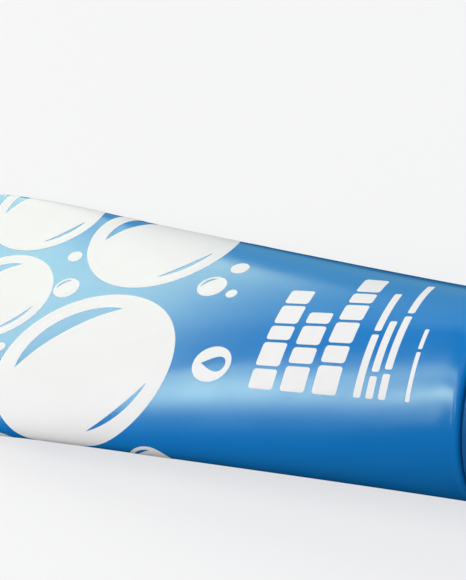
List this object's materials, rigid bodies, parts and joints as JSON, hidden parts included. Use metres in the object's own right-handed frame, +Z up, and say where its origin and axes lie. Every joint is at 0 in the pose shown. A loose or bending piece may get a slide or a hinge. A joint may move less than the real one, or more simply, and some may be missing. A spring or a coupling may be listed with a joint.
{
  "type": "shaving cream tube",
  "caption": "Squeeze tube of shaving cream with a flat welded tail, threaded neck and a screw-on flip-top cap that it can stand on.",
  "frame": {"origin": "on the surface that the tube lies on, under the centre of its bounding box", "axes": "+X along the tube towards the cap, +Y across the flat tail, +Z up; the tube's own axis leans 9.0 degrees up towards the cap"},
  "size_m": [0.1836, 0.0788, 0.0537],
  "materials": {
    "sleeve_plastic": "satin",
    "cream_fill": "matte",
    "shoulder_plastic": "satin",
    "barrier_laminate": "satin",
    "seal_foil": "satin",
    "washer_foam": "matte",
    "cap_plastic": "gloss"
  },
  "bodies": {
    "tube": {"sleeve": "sleeve_plastic", "cream": "cream_fill", "shoulder": "shoulder_plastic", "barrier_disc": "barrier_laminate", "mouth_seal": "seal_foil"},
    "liner": {"cap_washer": "washer_foam"},
    "cap": {"cap_base": "cap_plastic", "hinge_film": "cap_plastic", "snap_straps": "cap_plastic"},
    "lid": {"lid": "cap_plastic"}
  },
  "joints": [
    {"name": "cap_lift", "type": "slide", "parent": "tube", "child": "liner", "axis": [0.9876, 0, 0.1572], "range_m": [0, 0.0121]},
    {"name": "cap_turn", "type": "hinge", "parent": "liner", "child": "cap", "pos_m": [0.08017, 0, 0.02799], "axis": [0.9876, 0, 0.1572], "range_deg": [0, 1080]},
    {"name": "lid_open", "type": "hinge", "parent": "cap", "child": "lid", "pos_m": [0.08064, 0.0242, 0.02806], "axis": [-0.1572, 0, 0.9876], "range_deg": [0, 130], "deforming": ["hinge_film", "snap_straps"]}
  ],
  "couplings": [
    {"joint": "cap_lift", "follows": "cap_turn", "m_per_rad": 0.00063662}
  ]
}
